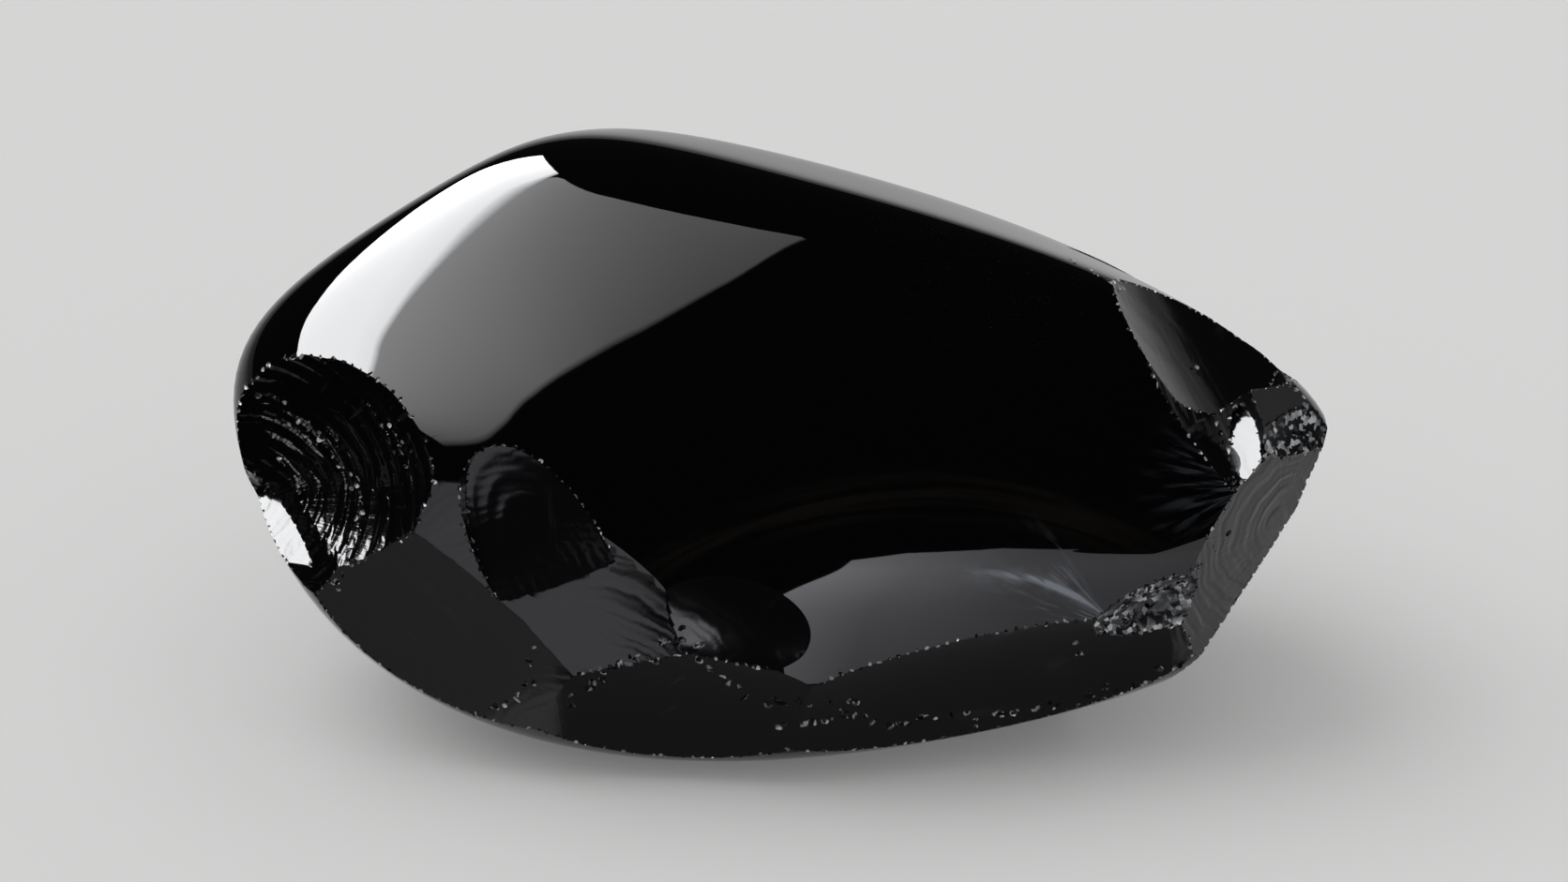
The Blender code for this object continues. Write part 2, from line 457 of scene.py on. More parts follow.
@dataclass(frozen=True)
class Skin(Finish):
    """Worn and polished skin, with a brown flow band in it and bruises where blows fell."""

    flow_colour: Colour = (0.0056, 0.0048, 0.0036)
    flow_top: tuple[float, float] = (13.0, -4.2)
    flow_bend: float = 0.012
    bruise_colour: Colour = (0.22, 0.24, 0.28)
    pocket: tuple[float, float] = (30.5, -17.0)
    tip: tuple[float, float] = (43.0, -4.0)
    arc_start: tuple[float, float] = (14.0, -11.7)
    arc_bend: float = 0.00125
    fan_strength: float = 0.35
    halo_strength: float = 0.16
    feather_strength: float = 0.16
    dust_strength: float = 0.07
    bruise_roughness: float = 0.4

    def paint(self, paint: Painter, shader: bpy.types.ShaderNode) -> None:
        """Lay the flow band and the bruises.

        Args:
            paint: adds nodes to the material.
            shader: the material's shader.
        """
        x, u, out = paint.split(paint.place())
        front = out.rise(3.0, 6.0)
        along = x - self.flow_top[0]
        drop = u - self.flow_top[1] + self.flow_bend * along * along
        grain = paint.noise(paint.join(x * 0.05, drop * 0.9, 0.0), 1.0, 3.0)
        band = drop.rise(-3.6, -1.2) * drop.rise(2.6, 0.2) * x.rise(-16.0, -9.0) * x.rise(40.0, 26.0)
        colour = paint.blend(band * grain.rise(0.38, 0.62), self.colour, self.flow_colour)
        lines, turn, away = paint.streaks(x, u, self.pocket, 16.0)
        run = x - self.arc_start[0]
        arc = (u - self.arc_start[1] + self.arc_bend * run * run * run).size()
        patches = paint.noise(paint.join(x * 0.5, u * 0.5, 0.0), 1.0, 2.0).rise(0.35, 0.65)
        fan = lines.rise(0.5, 0.68) * turn.rise(0.1, 0.3) * turn.rise(1.1, 0.7) * away.rise(15.0, 3.0)
        bright = arc.rise(0.5, 0.05) * x.rise(15.0, 24.0) * x.rise(31.5, 29.5) * lines.rise(0.35, 0.6)
        halo = arc.rise(1.6, 0.2) * x.rise(12.0, 20.0) * x.rise(31.5, 28.0) * patches
        hackle, tip_turn, tip_away = paint.streaks(x, u, self.tip, 11.0)
        feather = hackle.rise(0.46, 0.66) * tip_turn.size().rise(0.75, 0.35) * tip_away.rise(12.5, 2.5)
        dust = paint.noise(paint.join(x, u, 0.0), 5.0, 2.0).rise(0.62, 0.76)
        dusty = patches * dust * x.rise(4.0, 12.0) * x.rise(34.0, 24.0) * u.rise(4.0, 9.0)
        marks = (fan * self.fan_strength + bright + halo * self.halo_strength
                 + feather * self.feather_strength + dusty * self.dust_strength) * front
        colour = paint.blend(marks, colour, self.bruise_colour)
        paint.tree.links.new(colour.output, shader.inputs["Base Color"])
        rough = self.roughness + marks * self.bruise_roughness
        paint.tree.links.new(rough.output, shader.inputs["Roughness"])


@dataclass(frozen=True)
class Fracture(Finish):
    """A fresh break, with fine ripples round the blow."""

    blow: Spot = (0.0, 0.0, 0.0)
    wave: float = 1.7
    relief: float = 0.02
    smear: float = 3.0
    worn_colour: Colour = (0.03, 0.031, 0.034)
    worn_share: float = 0.25

    def paint(self, paint: Painter, shader: bpy.types.ShaderNode) -> None:
        """Raise the ripples and the fine lines that run out from the blow.

        Args:
            paint: adds nodes to the material.
            shader: the material's shader.
        """
        place = paint.place()
        parts = [part - middle for part, middle in zip(paint.split(place), self.blow)]
        away = (parts[0] * parts[0] + parts[1] * parts[1] + parts[2] * parts[2]) ** 0.5
        stir = paint.noise(place, 0.22, 3.0)
        swing = (away + stir * self.smear) * (math.tau / self.wave)
        strength = paint.noise(place, 0.15, 1.0).rise(0.35, 0.65)
        turn = parts[1].turn_from(parts[0])
        lines = paint.noise(paint.join(turn * 24.0, away * 0.12, parts[2] * 0.2), 1.0, 3.0)
        height = swing.sine() * strength + (swing * 2.3).sine() * 0.3 + lines * 1.2
        bump = paint.node("ShaderNodeBump", {}, {
            "Height": height * self.relief, "Distance": MM, "Strength": 1.0})
        paint.tree.links.new(bump.output, shader.inputs["Normal"])
        worn = lines.rise(0.6, 0.75) * stir.rise(0.45, 0.6)
        colour = paint.blend(worn * self.worn_share, self.colour, self.worn_colour)
        paint.tree.links.new(colour.output, shader.inputs["Base Color"])


@dataclass(frozen=True)
class Crushed(Finish):
    """Crumbled glass, whose fine cracks show pale, partly as their own colour and partly as painted glints.
    """

    crack_and_glint_colour: Colour = (0.7, 0.72, 0.75)
    cell: float = 0.45
    pale_and_glint_share: float = 0.8

    def paint(self, paint: Painter, shader: bpy.types.ShaderNode) -> None:
        """Turn some of the cells pale: the pale of crushed glass, and painted glints as well.

        Args:
            paint: adds nodes to the material.
            shader: the material's shader.
        """
        place = paint.place()
        cells = paint.node("ShaderNodeTexVoronoi", {}, {"Vector": place, "Scale": 1.0 / self.cell}, out=1)
        chance = paint.split(cells)[0]
        clouds = paint.noise(place, 0.5, 2.0).rise(0.3, 0.55)
        # Pale cells: partly the real pale of crushed glass, partly painted glints that stand in for sparkle.
        pale = chance.rise(0.5, 0.95) * clouds
        colour = paint.blend(pale * self.pale_and_glint_share, self.colour, self.crack_and_glint_colour)
        paint.tree.links.new(colour.output, shader.inputs["Base Color"])


POLISHED = Skin("polished_skin", (0.0012, 0.0012, 0.0014), 0.02)
FRACTURE = Fracture("fresh_fracture", (0.0025, 0.0025, 0.003), 0.12, (-20.0, -30.0, 2.0), 2.2, 0.006)
SHELL_BREAK = Fracture("shell_break", (0.0012, 0.0012, 0.0014), 0.1, (-49.0, -5.7, 2.0), 1.3, 0.02)
END_BREAK = Fracture("end_break", (0.0025, 0.0025, 0.003), 0.15, (45.5, -7.5, 1.5), 1.9, 0.03)
CRUSHED = Crushed("crushed_edge", (0.006, 0.006, 0.007), 0.2)


# ---- The scars ---------------------------------------------------------------------------------
@dataclass(frozen=True)
class Scar:
    """A shell-shaped hollow with waves round the point where the blow fell."""

    name: str
    spot: Spot
    aim: tuple[float, float]
    size: tuple[float, float]
    turn: float
    depth: float
    strike: tuple[float, float]
    wave: float = 2.4
    swell: float = 0.12
    grain: float = 0.5
    ragged: float = 0.3
    stretch: float = 1.0
    flare: float = 3.0
    reach: float = 1.5
    lid: float = 16.0
    finish: Finish = FRACTURE
    spokes: int = 150

    def frame(self) -> Matrix:
        """Return the matrix from the scar's own axes (length, width, out of its mouth) to x, u, w.

        Returns:
            The matrix, in metres.
        """
        out = facing(*self.aim)
        level = Vector((1.0, 0.0, 0.0))
        level = (level - out * level.dot(out)).normalized()
        along = Matrix.Rotation(math.radians(self.turn), 3, out) @ level
        frame = Matrix((along, out.cross(along), out)).transposed().to_4x4()
        frame.translation = Vector(self.spot) * MM
        return frame

    def waves(self, away: np.ndarray, turn: np.ndarray) -> np.ndarray:
        """Return the height of the ragged waves round the blow.

        Args:
            away: distances from the blow, in millimetres.
            turn: angles round the blow, in radians.

        Returns:
            One height a point, in millimetres.
        """
        chance = np.random.default_rng(len(self.name) * 31 + round(self.size[0] * 7))
        drift, strength = np.zeros_like(away), np.ones_like(away)
        for lobes in (1, 2, 3, 5, 8):
            start, pull = chance.uniform(0, math.tau), chance.uniform(0.3, 1.0)
            drift += pull / lobes * np.sin(lobes * turn + start + away * chance.uniform(-0.2, 0.2))
            strength += 0.5 * pull * np.sin(lobes * turn + 2.3 * start + away * chance.uniform(0.2, 1.1))
        swing = math.tau * (away + 0.35 * self.ragged * self.wave * drift) / self.wave
        crest = np.cos(swing) + 0.45 * np.cos(0.61 * swing + 1.3) + 0.3 * np.cos(2.2 * swing + 0.9)
        level = 1.0 - self.ragged + self.ragged * np.clip(strength, 0.0, 2.2)
        return -self.swell / 2 * crest * level

    def profile(self) -> list[tuple[float, float]]:
        """Return the flat cutter's half section round the blow: lid, outer side, then inwards."""
        rim = (math.hypot(*self.strike) + max(self.size) / 2) * self.reach
        rings = math.ceil(rim / self.grain)
        points = [(0.0, self.lid), (rings * self.grain, self.lid)]
        return points + [(ring * self.grain, 0.0) for ring in range(rings, -1, -1)]

    def build(self) -> bpy.types.Object:
        """Turn a disc round the blow, wave it, bow it into the hollow and return the cutter.

        Returns:
            The cutter, in the chunk's own axes.
        """
        points = self.profile()
        mesh = bpy.data.meshes.new(self.name)
        chain = [(i, i + 1) for i in range(len(points) - 1)]
        mesh.from_pydata([(rho * MM, 0.0, rise * MM) for rho, rise in points], chain, [])
        cutter = new_object(self.name, mesh)
        turned = cutter.modifiers.new("turn", "SCREW")
        turned.angle = math.tau
        turned.steps = turned.render_steps = self.spokes
        turned.use_merge_vertices = True
        turned.merge_threshold = SAME_POINT
        make_plain(cutter)
        half_length, half_width = self.size[0] / 2 * MM, self.size[1] / 2 * MM
        places = mesh_points(cutter.data)
        floor = places[:, 2] < self.lid * MM / 2
        away = np.hypot(places[:, 0], places[:, 1]) / MM
        places[:, 2] += floor * self.waves(away, np.arctan2(places[:, 1], places[:, 0])) * MM
        places[:, 1] *= self.stretch
        places[:, :2] += np.array(self.strike) * MM
        bow = (places[:, 0] / half_length) ** 2 + (places[:, 1] / half_width) ** 2 - 1.0
        places[:, 2] += self.depth * MM * np.minimum(bow, self.flare)
        cutter.data.vertices.foreach_set("co", places.ravel())
        cutter.data.transform(self.frame())
        return cutter


def mesh_points(mesh: bpy.types.Mesh) -> np.ndarray:
    """Return a mesh's points, one a row."""
    places = np.empty(len(mesh.vertices) * 3)
    mesh.vertices.foreach_get("co", places)
    return places.reshape(-1, 3)


def make_plain(piece: bpy.types.Object) -> None:
    """Apply a piece's modifiers to its mesh."""
    solid = piece.evaluated_get(bpy.context.evaluated_depsgraph_get())
    piece.data = bpy.data.meshes.new_from_object(solid)
    piece.modifiers.clear()


SCARS: tuple[Scar, ...] = (
    Scar("left_shell", (-41.2, -2.2, 5.5), (203, 63), (23, 20.5), 0, 2.2, (-8, -3.5), 1.5, 0.12, 0.15,
         ragged=1.0, finish=SHELL_BREAK),
    Scar("left_shell_inner", (-45.0, -3.6, 3.2), (204, 54), (19, 20), 0, 1.3, (-5, 0), 2.0, 0.04, 0.25,
         ragged=0.6, finish=SHELL_BREAK),
    Scar("left_window", (-46.1, -9.2, -1.2), (135, 53), (12.4, 12.4), -65, 0.05, (0, 0), 5.0, 0.0, 0.3,
         stretch=0.34, reach=1.0),
    Scar("lower_left_dish", (-31.3, -15.7, 4.2), (240, 58), (22, 17), -42, 0.5, (-2, -11), 3.6, 0.03, 0.9),
    Scar("left_panel", (-20.2, -13.9, 7.9), (241, 67), (28, 13), -36, 0.4, (9, -5), 4.0, 0.02, 0.9),
    Scar("left_swirl", (-26.0, -10.2, 7.3), (222, 76), (14, 14), -62, 0.5, (3, 4), 2.2, 0.02, 0.4,
         ragged=0.5, stretch=0.5, reach=1.0),
    Scar("bottom_lens", (-10.1, -24.1, 4.0), (263, 52), (21, 11), 0, 0.6, (0, -6), 4.0, 0.02, 0.9),
    Scar("black_dish", (-4.5, -18.4, 8.7), (265, 77), (12, 8), -15, 0.4, (-3, -3), 2.4, 0.02, 0.6),
    Scar("lower_right_scar", (17.0, -22.3, 3.8), (284, 48), (37, 10), 8, 0.6, (12, -4), 4.0, 0.02, 0.9),
    Scar("crushed_pocket", (32.5, -15.7, 6.0), (300, 60), (13, 5), 25, 1.2, (0, -3), 2.0, 0.2, 0.5,
         finish=CRUSHED),
    Scar("right_facet", (42.6, -9.0, 3.2), (329, 42), (34, 22), 0, 0.3, (8, -6), 3.2, 0.03, 0.8,
         finish=END_BREAK),
    Scar("right_back", (41.2, -10.2, -6.0), (326, -20), (36, 26), 0, -0.5, (8, -6), 3.2, 0.06, 0.8),
    Scar("right_upper_back", (47.4, -1.9, -3.0), (341, -15), (20, 20), 0, -0.2, (2, -2), 3.2, 0.05, 0.6),
    Scar("right_cliff", (40.7, 8.8, -3.5), (35, 30), (60, 31), -58, 2.2, (-16, -5), 3.0, 0.02, 0.8,
         flare=5.0, reach=0.49, lid=26.0),
    Scar("right_step", (36.3, 3.5, 7.2), (28, 31), (17, 17), -48, 0.4, (0, 0), 3.0, 0.02, 0.4,
         stretch=0.5, reach=1.0, lid=12.0),
    Scar("right_brow", (38.2, 12.2, -9.0), (60, 0), (30, 20), 90, -0.4, (0, 0), 3.0, 0.03, 0.8,
         reach=0.9, lid=6.0),
    Scar("tip_dish", (44.8, 3.4, 4.8), (32, 50), (12, 11), 20, 0.4, (3, 3), 2.0, 0.02, 0.6),
    Scar("tip_crush", (46.8, -0.5, 3.7), (10, 50), (8, 8), 20, 0.3, (3, 3), 2.0, 0.06, 0.5, finish=CRUSHED),
    Scar("white_facet", (41.9, -0.5, 5.4), (135, 55), (7.2, 7.2), -87, 0.05, (0, 0), 5.0, 0.0, 0.2,
         stretch=0.4, reach=1.0),
    Scar("white_chip", (-19.6, -26.4, 4.6), (135, 55), (3.4, 3.4), 0, 0.05, (0, 0), 5.0, 0.0, 0.2,
         stretch=0.8, reach=1.0),
    Scar("back_high_scar", (20.0, 8.0, -32.5), (55, -58), (34, 24), 20, 3.0, (12, 6), 4.5, 0.35, 0.9),
    Scar("back_left_scar", (-30.0, 3.0, -29.5), (186, -52), (30, 24), 60, 2.6, (-10, -6), 4.2, 0.3, 0.9),
    Scar("back_low_scar", (2.0, -12.0, -33.5), (265, -66), (30, 16), 0, 2.2, (4, -8), 4.2, 0.2, 0.9),
    Scar("back_right_scar", (38.0, -9.0, -23.0), (335, -38), (24, 18), 30, 2.4, (8, -5), 4.0, 0.25, 0.9),
)


# ---- The chips along the edges -----------------------------------------------------------------
@dataclass(frozen=True)
class Seam:
    """A line where the glass has crumbled away in small chips."""

    name: str
    course: tuple[Spot, ...]
    step: float
    stray: float
    size: float

    def wire(self) -> bpy.types.Object:
        """Return the line as a wire."""
        mesh = bpy.data.meshes.new(self.name)
        mesh.from_pydata([Vector(spot) * MM for spot in self.course],
                         [(i, i + 1) for i in range(len(self.course) - 1)], [])
        return new_object(self.name, mesh)


@dataclass
class ChipMaker:
    """Strews chip-shaped cutters along wires."""

    chunk: bpy.types.Object
    finish: bpy.types.Material

    def __post_init__(self) -> None:
        """Make the node group."""
        tree = bpy.data.node_groups.new("chips", "GeometryNodeTree")
        self.tree = tree
        tree.interface.new_socket("Wire", in_out="INPUT", socket_type="NodeSocketGeometry")
        tree.interface.new_socket("Chips", in_out="OUTPUT", socket_type="NodeSocketGeometry")
        self.inputs = {
            name: tree.interface.new_socket(name, in_out="INPUT", socket_type=kind).identifier
            for name, kind in (("Chunk", "NodeSocketObject"), ("Step", "NodeSocketFloat"),
                               ("Stray", "NodeSocketFloat"), ("Size", "NodeSocketFloat"),
                               ("Finish", "NodeSocketMaterial"))
        }
        paint = Painter(tree)
        wire, chunk, step, stray, size, finish = paint.node("NodeGroupInput", {}, {}, out=(0, 1, 2, 3, 4, 5))
        curve = paint.node("GeometryNodeMeshToCurve", {}, {0: wire})
        beads = paint.node("GeometryNodeResampleCurve", {"mode": "LENGTH"}, {"Curve": curve, "Length": step})
        astray = paint.node("FunctionNodeRandomValue", {"data_type": "FLOAT_VECTOR"},
                            {0: (-1, -1, -1), 1: (1, 1, 1), "Seed": 3})
        shift = paint.node("ShaderNodeVectorMath", {"operation": "SCALE"}, {0: astray, "Scale": stray})
        moved = paint.node("GeometryNodeSetPosition", {}, {"Geometry": beads, "Offset": shift})
        skin = paint.node("GeometryNodeObjectInfo", {"transform_space": "RELATIVE"}, {"Object": chunk}, out=4)
        near = paint.node("GeometryNodeProximity", {"target_element": "FACES"}, {0: skin})
        settled = paint.node("GeometryNodeSetPosition", {}, {"Geometry": moved, "Position": near})
        shard = paint.node("GeometryNodeMeshIcoSphere", {}, {"Radius": size, "Subdivisions": 1})
        turn = paint.node("FunctionNodeRandomValue", {"data_type": "FLOAT_VECTOR"},
                          {0: (0, 0, 0), 1: (math.tau, math.tau, math.tau), "Seed": 5})
        shape = paint.node("FunctionNodeRandomValue", {"data_type": "FLOAT_VECTOR"},
                           {0: (0.5, 0.3, 0.2), 1: (1.4, 1.0, 0.7), "Seed": 8})
        strewn = paint.node("GeometryNodeInstanceOnPoints", {}, {
            "Points": settled, "Instance": shard, "Rotation": turn, "Scale": shape})
        solid = paint.node("GeometryNodeRealizeInstances", {}, {0: strewn})
        done = paint.node("GeometryNodeSetMaterial", {}, {"Geometry": solid, "Material": finish})
        paint.node("NodeGroupOutput", {}, {0: done})

    def strew(self, wire: bpy.types.Object, step: float, stray: float, size: float) -> bpy.types.Object:
        """Turn a wire into chip cutters.

        Args:
            wire: the wire, in the chunk's own axes.
            step: from one chip to the next along it, in millimetres.
            stray: how far chips stray from it, in millimetres.
            size: a chip's radius, in millimetres.

        Returns:
            The same object, now the cutters.
        """
        modifier = wire.modifiers.new("chips", "NODES")
        modifier.node_group = self.tree
        for name, value in (("Chunk", self.chunk), ("Step", step * MM), ("Stray", stray * MM),
                            ("Size", size * MM), ("Finish", self.finish)):
            modifier[self.inputs[name]] = value
        make_plain(wire)
        return wire


SEAMS: tuple[Seam, ...] = (
    Seam("lens_left_seam", ((-19.5, -24.3, 4), (-16.6, -21.8, 5), (-14.9, -20.0, 6), (-11.5, -18.6, 7),
                            (-9.5, -17.2, 8)), 1, 0.7, 0.7),
    Seam("lens_right_seam", ((-9.5, -17.2, 8), (-6.8, -19.6, 6), (-3.0, -22.7, 5), (0.8, -23.7, 5),
                             (5.2, -24.0, 5), (6.8, -24.8, 4)), 1, 0.9, 0.7),
    Seam("low_seam", ((-0.5, -25.4, 3), (6.8, -24.8, 3), (10.5, -26.2, 2), (16.4, -25.4, 2)), 1, 0.5, 0.7),
    Seam("low_right_seam", ((17.3, -25.8, 1), (22.4, -25.0, 1), (27.5, -23.7, 1), (33.4, -22.4, 1),
                            (36.1, -20.5, 1)), 0.9, 0.8, 0.6),
    Seam("pocket_seam", ((26.6, -18.6, 4), (30.0, -16.5, 6), (33.8, -15.6, 6), (35.9, -13.5, 6),
                         (38.5, -11.0, 6), (39.3, -8.9, 6)), 1, 1.1, 0.7),
    Seam("tip_seam", ((43.6, 8.1, 2), (46.5, 6.0, 2), (48.2, 3.4, 2), (48.2, 1.3, 3),
                      (44.5, -1.5, 6)), 1, 1, 0.7),
    Seam("hackle_seam", ((-28.5, -25.0, 0), (-25.1, -24.1, 2), (-23.4, -22.4, 4),
                         (-23.0, -19.4, 5)), 0.75, 0.7, 0.5),
    Seam("shell_seam", ((-48.1, 4.4, 3), (-45.3, 3.0, 4), (-42.6, 0.6, 4), (-41.3, -1.1, 4), (-39.7, -3.5, 4),
                        (-38.6, -5.4, 4), (-38.6, -7.5, 4), (-38.9, -9.6, 4), (-40.0, -12.0, 3),
                        (-41.5, -13.3, 2)), 0.68, 0.5, 0.45),
    Seam("brow_seam", ((26.0, 16.6, 4), (27.9, 15.9, 5), (30.0, 14.4, 6), (32.1, 14.4, 4)), 0.9, 0.7, 0.6),
    Seam("knob_seam", ((39.7, 7.7, 0), (41.0, 8.9, 0), (42.7, 9.4, 0)), 0.9, 0.8, 0.6),
)


# ---- The chunk ---------------------------------------------------------------------------------
@dataclass
class Chunk:
    """The whole chunk: the worn cobble with every scar and chip taken out of it."""

    lie: Lie = field(default_factory=Lie)
    cobble: Cobble = field(default_factory=Cobble)
    scars: tuple[Scar, ...] = SCARS
    seams: tuple[Seam, ...] = SEAMS
    crease: float = 24.0
    ridge_angle: float = 30.0
    ridge_step: float = 0.9
    ridge_stray: float = 0.1
    ridge_chip: float = 0.4

    def build(self) -> bpy.types.Object:
        """Return the dressed chunk, in place in the frame.

        Returns:
            The chunk.
        """
        chunk = self.cobble.build()
        chunk.name = chunk.data.name = "chunk_of_obsidian"
        chunk.data.materials.append(POLISHED.build())
        paints = {scar.finish.name: scar.finish for scar in self.scars}
        finishes = {name: finish.build() for name, finish in paints.items()}
        cutters = []
        for scar in self.scars:
            cutter = scar.build()
            cutter.data.materials.append(finishes[scar.finish.name])
            cutters.append(cutter)
        seat = self.seat_block()
        seat.data.materials.append(finishes[FRACTURE.name])
        self.take_out(chunk, [*cutters, seat])
        chips = ChipMaker(chunk, finishes[CRUSHED.name])
        strewn = [chips.strew(seam.wire(), seam.step, seam.stray, seam.size) for seam in self.seams]
        ridges = self.ridges(chunk.data)
        strewn.append(chips.strew(ridges, self.ridge_step, self.ridge_stray, self.ridge_chip))
        self.take_out(chunk, strewn)
        self.smooth(chunk.data)
        chunk.data.transform(self.lie.matrix())
        return chunk

    def take_out(self, chunk: bpy.types.Object, cutters: list[bpy.types.Object]) -> None:
        """Take cutters out of the chunk and throw them away.

        Args:
            chunk: the chunk, whose mesh changes.
            cutters: closed solids, each with the finish that its cut shows.
        """
        for cutter in cutters:
            boolean = chunk.modifiers.new(cutter.name, "BOOLEAN")
            boolean.operation = "DIFFERENCE"
            boolean.solver = "MANIFOLD"
            boolean.material_mode = "TRANSFER"
            boolean.object = cutter
        make_plain(chunk)
        for cutter in cutters:
            log.info("%s: %d faces", cutter.name, len(cutter.data.polygons))
            bpy.data.objects.remove(cutter)

    def ridges(self, mesh: bpy.types.Mesh) -> bpy.types.Object:
        """Return the sharp ridges above the seat as a wire.

        Args:
            mesh: the chunk's mesh, in its own axes.

        Returns:
            The wire.
        """
        shape = bmesh.new()
        shape.from_mesh(mesh)
        lie = self.lie.matrix()
        sharp = [edge for edge in shape.edges if edge.calc_face_angle(0.0) > math.radians(self.ridge_angle)
                 and min((lie @ vert.co).z for vert in edge.verts) > MM]
        places = [vert.co.copy() for edge in sharp for vert in edge.verts]
        shape.free()
        wire = bpy.data.meshes.new("ridges")
        wire.from_pydata(places, [(2 * i, 2 * i + 1) for i in range(len(sharp))], [])
        joined = bmesh.new()
        joined.from_mesh(wire)
        bmesh.ops.remove_doubles(joined, verts=joined.verts, dist=0.1 * SAME_POINT)
        joined.to_mesh(wire)
        joined.free()
        return new_object("ridges", wire)

    def seat_block(self) -> bpy.types.Object:
        """Return the block whose top is the flat that the chunk rests on, in the chunk's own axes.

        Returns:
            The block.
        """
        size = 6 * self.lie.seat_drop * MM
        mesh = bpy.data.meshes.new("seat_block")
        shape = bmesh.new()
        bmesh.ops.create_cube(shape, size=size, matrix=Matrix.Translation((0, 0, -size / 2)))
        bmesh.ops.transform(shape, matrix=self.lie.matrix().inverted(), verts=shape.verts)
        shape.to_mesh(mesh)
        shape.free()
        return new_object("seat_block", mesh)

    def smooth(self, mesh: bpy.types.Mesh) -> None:
        """Shade the mesh smooth, with creases at the ridges and the true normals on the skin.

        Args:
            mesh: the chunk's mesh, in its own axes.
        """
        mesh.shade_smooth()
        names = [material.name for material in mesh.materials]
        for face in mesh.polygons:
            face.use_smooth = names[face.material_index] != CRUSHED.name
        mesh.set_sharp_from_angle(angle=math.radians(self.crease))
        corners = np.empty(len(mesh.loops) * 3)
        mesh.corner_normals.foreach_get("vector", corners)
        corners = corners.reshape(-1, 3)
        points = np.empty(len(mesh.loops), dtype=int)
        mesh.loops.foreach_get("vertex_index", points)
        kinds = np.empty(len(mesh.polygons), dtype=int)
        mesh.polygons.foreach_get("material_index", kinds)
        counts = np.empty(len(mesh.polygons), dtype=int)
        mesh.polygons.foreach_get("loop_total", counts)
        skin = np.repeat(kinds == 0, counts)
        corners[skin] = self.cobble.normals(mesh_points(mesh)[points[skin]] / MM)
        mesh.normals_split_custom_set(corners.tolist())


# ---- The studio --------------------------------------------------------------------------------
class Shows(Enum):
    """What sees a stage piece."""

    EVERYTHING = "everything"
    REFLECTIONS = "reflections"
    ALL_BUT_REFLECTIONS = "all but reflections"
    CAMERA = "camera"

    def limit(self, piece: bpy.types.Object) -> None:
        """Limit what sees a stage piece.

        Args:
            piece: the stage piece.
        """
        if self is Shows.EVERYTHING:
            return
        piece.visible_glossy = self is Shows.REFLECTIONS
        piece.visible_camera = self is not Shows.REFLECTIONS
        piece.visible_diffuse = self is Shows.ALL_BUT_REFLECTIONS
        piece.visible_shadow = self is Shows.ALL_BUT_REFLECTIONS


Rail = tuple[tuple[float, ...], ...]


@dataclass(frozen=True)
class Panel:
    """A level sheet of light that only reflections see.

    Its rails run side by side. Each point of a rail holds x, y and the glow there, and its lift where
    it is off the sheet's level.
    """

    name: str
    height: float
    rails: tuple[Rail, ...]
    tint: tuple[float, float, float] = (1.0, 1.0, 1.0)

    @staticmethod
    def soften(line: np.ndarray, times: int = 2) -> np.ndarray:
        """Cut a line's corners, with its ends kept.

        Args:
            line: the points, one a row.
            times: how often the corners are cut.

        Returns:
            The softened line.
        """
        for _ in range(times):
            near = 0.75 * line[:-1] + 0.25 * line[1:]
            far = 0.25 * line[:-1] + 0.75 * line[1:]
            inner = np.stack([near, far], axis=1).reshape(-1, line.shape[1])
            line = np.concatenate([line[:1], inner[1:-1], line[-1:]])
        return line

    def build(self, middle: Vector) -> bpy.types.Object:
        """Return the sheet, hung over a middle.

        Args:
            middle: the place that the sheet's height and points are measured from.

        Returns:
            The sheet.
        """
        rails = np.array([self.soften(np.array([(*spot, 0.0)[:4] for spot in rail])) for rail in self.rails])
        rows, columns = rails.shape[:2]
        points = rails.reshape(-1, 4)
        mesh = bpy.data.meshes.new(self.name)
        mesh.from_pydata([(x, y, self.height + lift) for x, y, _, lift in points], [],
                         grid_faces(rows, columns))
        glow = mesh.attributes.new("glow", "FLOAT", "POINT")
        glow.data.foreach_set("value", points[:, 2])
        mesh.transform(Matrix.Translation(middle))
        mesh.materials.append(Painter.glow(self.name, self.tint))
        panel = new_object(self.name, mesh)
        Shows.REFLECTIONS.limit(panel)
        return panel


def between(outer: Rail, inner: Rail, share: float, glow: float) -> Rail:
    """Return the rail that runs a share of the way from one rail to another, at one glow.

    Args:
        outer: the rail that the share starts from.
        inner: the rail that the share ends at.
        share: how far towards the inner rail.
        glow: the new rail's glow.

    Returns:
        The new rail.
    """
    return tuple((a[0] + share * (b[0] - a[0]), a[1] + share * (b[1] - a[1]), glow)
                 for a, b in zip(outer, inner))


HOT_OUTER: Rail = (
    (-2.3, -1.5, 20), (-1.76, -0.67, 20), (-1.43, -0.08, 20), (-1.19, 0.34, 20), (-1.14, 1.22, 20),
    (-1.53, 3.13, 20), (-1.55, 4.04, 20), (-0.8, 1.99, 20), (-0.44, 1.15, 20),
)
HOT_INNER: Rail = (
    (-1.5, -2.0, 5.2), (-1.09, -1.35, 5.2), (-0.97, -1.1, 5.2), (-0.8, -0.83, 5.2), (-0.62, -0.5, 5.2),
    (-0.52, -0.25, 5.2), (-0.44, -0.04, 5.2), (-0.39, 0.06, 5.0), (-0.32, 0.16, 4.6),
)

